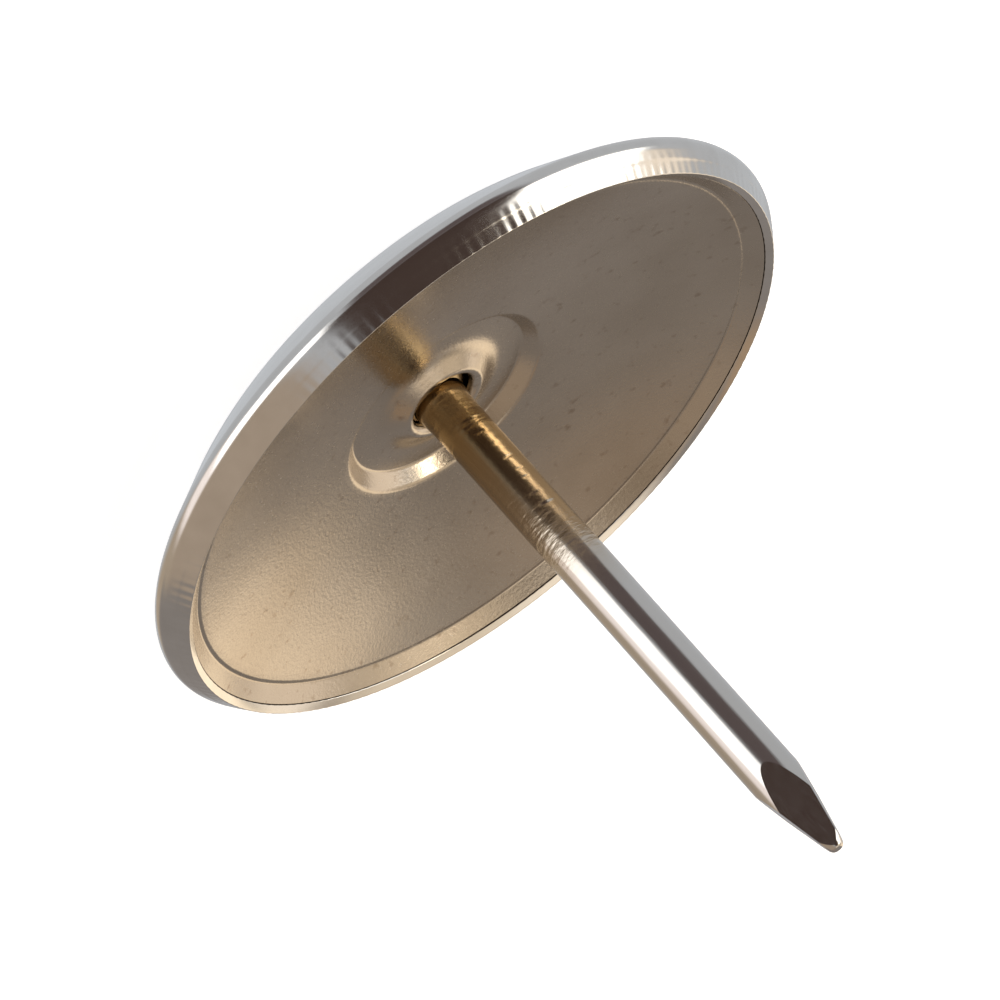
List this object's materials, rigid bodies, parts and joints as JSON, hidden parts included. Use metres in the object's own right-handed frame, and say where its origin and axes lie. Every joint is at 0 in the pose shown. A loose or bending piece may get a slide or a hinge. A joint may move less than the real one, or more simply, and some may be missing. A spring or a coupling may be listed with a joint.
{
  "type": "nail-on furniture glide",
  "caption": "Nail-on furniture glide: a domed nickel-plated steel cap crimped over a dished plate that holds a ringed nail.",
  "frame": {"origin": "middle of the domed sliding face, at the floor", "axes": "+Z along the nail, from the sliding face towards the point; +X and +Y across, the glide being round"},
  "size_m": [0.0254, 0.0254, 0.0223],
  "materials": {
    "nickel_plate": "bright nickel plate",
    "plate_steel": "satin, thinly plated, slightly tarnished",
    "nail_wire": "bright drawn wire, slightly yellowed"
  },
  "bodies": {
    "root": {"glide_cap": "nickel_plate", "retaining_plate": "plate_steel", "nail": "nail_wire"}
  },
  "joints": []
}
